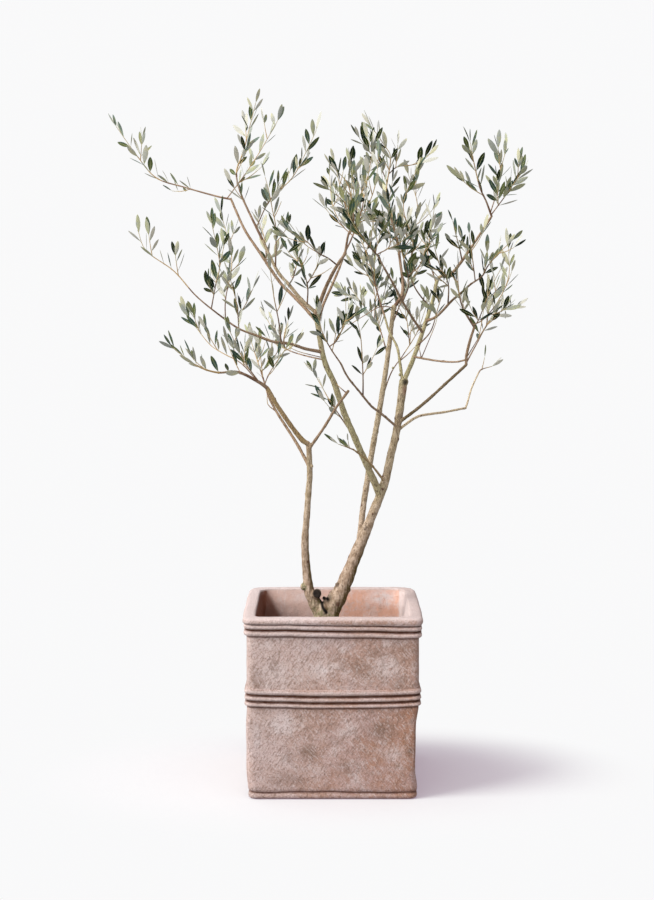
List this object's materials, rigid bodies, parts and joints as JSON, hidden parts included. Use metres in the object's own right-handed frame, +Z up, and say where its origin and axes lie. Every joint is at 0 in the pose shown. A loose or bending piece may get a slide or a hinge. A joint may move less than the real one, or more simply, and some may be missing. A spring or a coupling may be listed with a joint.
{
  "type": "potted olive tree",
  "caption": "Light, open olive tree with several slender stems and small narrow leaves, growing in a square ribbed terracotta planter filled with soil.",
  "frame": {"origin": "middle of the planter's flat underside, at the level it stands on", "axes": "+Z up along the tree, +X to the viewer's right, +Y away from the viewer"},
  "size_m": [0.886, 0.6147, 1.4214],
  "materials": {
    "terracotta": "matte, chalky, mottled",
    "soil": "rough, crumbly",
    "bark": "rough bark",
    "foliage": "satin leaves"
  },
  "bodies": {
    "root": {"planter": "terracotta", "soil": "soil", "trunk": "bark", "left_stem": "bark", "back_stem": "bark", "middle_stem": "bark", "lower_left_bough": "bark", "lower_left_back_twig": "bark", "cut_stub": "bark", "upper_left_bough": "bark", "rear_left_bough": "bark", "centre_front_bough": "bark", "centre_rear_bough": "bark", "left_bough": "bark", "right_bough": "bark", "rear_centre_bough": "bark", "bare_twig": "bark", "right_front_bough": "bark", "front_centre_bough": "bark", "lower_right_bough": "bark", "outer_right_bough": "bark", "lowest_right_bough": "bark", "lowest_right_shoot": "bark", "cross_bough": "bark", "low_front_bough": "bark", "foliage_low_left": "foliage", "foliage_low_left_rear": "foliage", "foliage_far_left": "foliage", "foliage_left_front": "foliage", "foliage_left_rear": "foliage", "foliage_top_left": "foliage", "foliage_upper_left_low": "foliage", "foliage_upper_left_rear": "foliage", "foliage_upper_left_near": "foliage", "foliage_far_top_left": "foliage", "foliage_rear_left": "foliage", "foliage_centre_front": "foliage", "foliage_centre_left_front": "foliage", "foliage_centre_rear": "foliage", "foliage_top_centre": "foliage", "foliage_low_rear_right": "foliage", "foliage_rear_centre": "foliage", "foliage_rear_right": "foliage", "foliage_inner_rear": "foliage", "foliage_centre_near": "foliage", "foliage_near_centre_right": "foliage", "foliage_right_of_centre": "foliage", "foliage_right_upright": "foliage", "foliage_right_inner": "foliage", "foliage_upper_right": "foliage", "foliage_right_front": "foliage", "foliage_right_near": "foliage", "foliage_right_front_low": "foliage", "foliage_far_right": "foliage", "foliage_far_right_low": "foliage", "foliage_low_right_tip": "foliage", "foliage_centre_low": "foliage", "foliage_centre_low_shoot": "foliage", "foliage_low_front": "foliage", "foliage_stem_twig": "foliage"}
  },
  "joints": []
}
